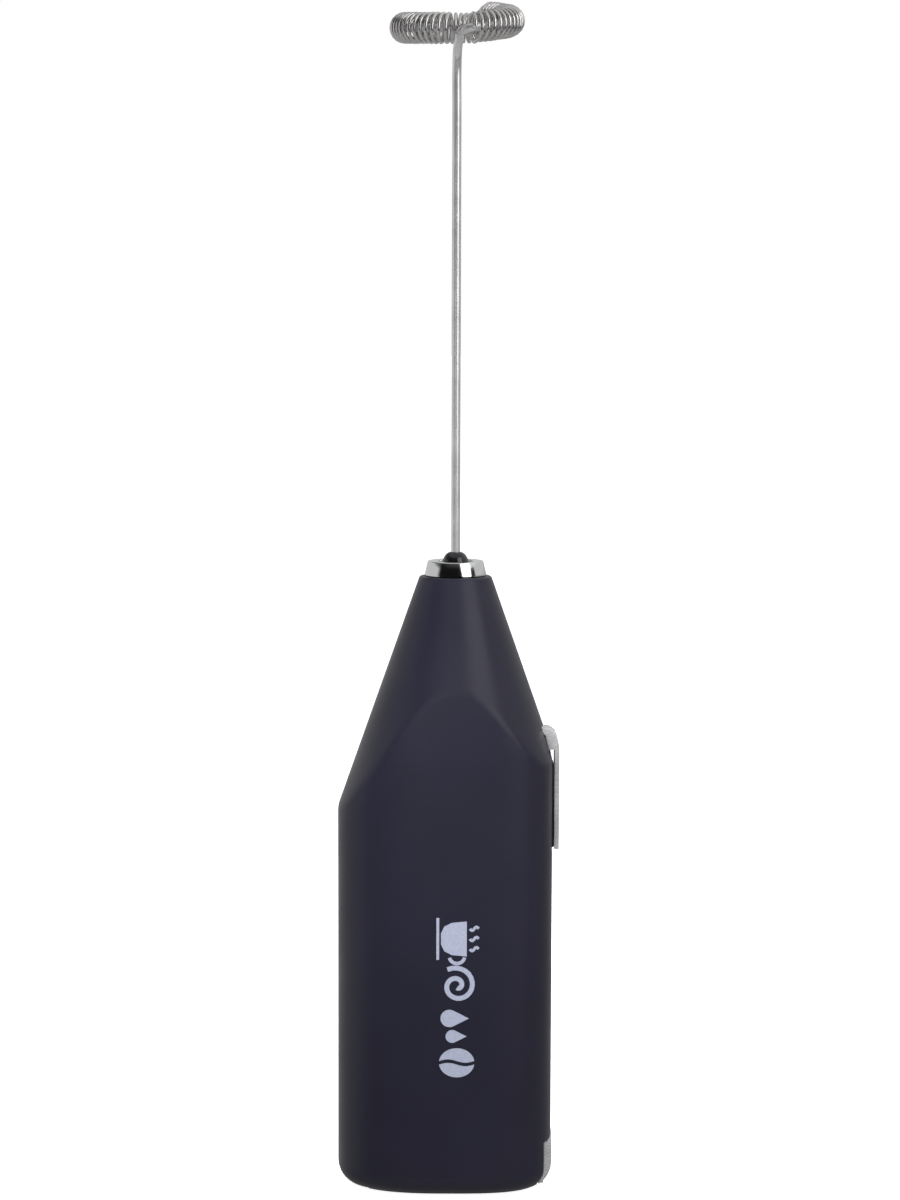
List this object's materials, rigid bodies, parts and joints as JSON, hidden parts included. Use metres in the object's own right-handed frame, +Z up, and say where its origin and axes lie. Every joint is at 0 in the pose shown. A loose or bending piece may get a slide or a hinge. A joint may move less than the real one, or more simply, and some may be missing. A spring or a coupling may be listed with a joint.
{
  "type": "milk frother",
  "caption": "Hand-held battery milk frother with an oval tapered case, side lever switch and a coil-ring whisk on a long thin shaft.",
  "frame": {"origin": "where the whisk's spin axis meets the flat base", "axes": "+Z up along the whisk's spin axis, +X towards the switch lever, -Y towards the broad front face"},
  "size_m": [0.0391, 0.026, 0.2087],
  "materials": {
    "soft_touch": "soft-touch charcoal",
    "chrome": "polished",
    "steel": "bright nickel-plated",
    "gloss_black": "glossy",
    "inner_plastic": "moulded",
    "nylon": "natural",
    "brass": "bright",
    "winding_copper": "enamelled windings on steel laminations",
    "magnet": "sintered ferrite",
    "rubber": "matte",
    "battery_wrap": "printed film wrap",
    "wire_black": "insulation",
    "wire_red": "insulation",
    "wire_blue": "insulation"
  },
  "bodies": {
    "case": {"front_shell": "soft_touch", "rear_shell": "soft_touch", "neck_collar": "chrome", "neck_bush": "brass", "neck_seal": "rubber", "motor_can": "steel", "motor_end_cap": "nylon", "motor_magnet_left": "magnet", "motor_magnet_right": "magnet", "motor_sleeve": "rubber", "motor_terminal_left": "brass", "motor_terminal_right": "brass", "battery_1": "battery_wrap", "battery_2": "battery_wrap", "battery_tray": "inner_plastic", "contact_bulkhead": "inner_plastic", "positive_contact": "steel", "negative_contact": "steel", "negative_spring": "steel", "door_hinge_pin": "steel", "lever_pin": "steel", "switch_base": "nylon", "switch_contact": "brass", "negative_lead": "wire_black", "positive_lead": "wire_red", "motor_lead": "wire_blue"},
    "whisk": {"whisk_wire": "chrome", "whisk_coil": "chrome", "whisk_coupler": "gloss_black", "motor_shaft": "steel", "motor_armature": "winding_copper", "commutator": "brass"},
    "lever": {"switch_lever": "chrome", "lever_pad": "inner_plastic"},
    "leaf": {"switch_leaf": "brass"},
    "door": {"battery_door": "soft_touch", "bridge_contact": "steel", "bridge_spring": "steel", "latch_pin": "steel"},
    "latch": {"door_latch": "chrome"}
  },
  "joints": [
    {"name": "whisk_spin", "type": "hinge", "parent": "case", "child": "whisk", "pos_m": [0, 0, 0.108], "axis": [0, 0, 1], "continuous": true},
    {"name": "lever_press", "type": "hinge", "parent": "case", "child": "lever", "pos_m": [0.0127, 0, 0.0797], "axis": [0, 1, 0], "range_deg": [0, 3], "stiffness_Nm_per_rad": 0.25, "springref_deg": -3.44},
    {"name": "leaf_bend", "type": "hinge", "parent": "case", "child": "leaf", "pos_m": [0.014, 0, 0.0615], "axis": [0, 1, 0], "range_deg": [-3.6, 0]},
    {"name": "door_swing", "type": "hinge", "parent": "case", "child": "door", "pos_m": [-0.0168, 0, 0.0014], "axis": [0, 1, 0], "range_deg": [0, 90]},
    {"name": "latch_flex", "type": "hinge", "parent": "door", "child": "latch", "pos_m": [0.0137, 0, 0.00095], "axis": [0, 1, 0], "range_deg": [0, 10], "stiffness_Nm_per_rad": 0.04, "springref_deg": -5.73}
  ],
  "couplings": [
    {"joint": "leaf_bend", "follows": "lever_press", "ratio": -1.14}
  ]
}
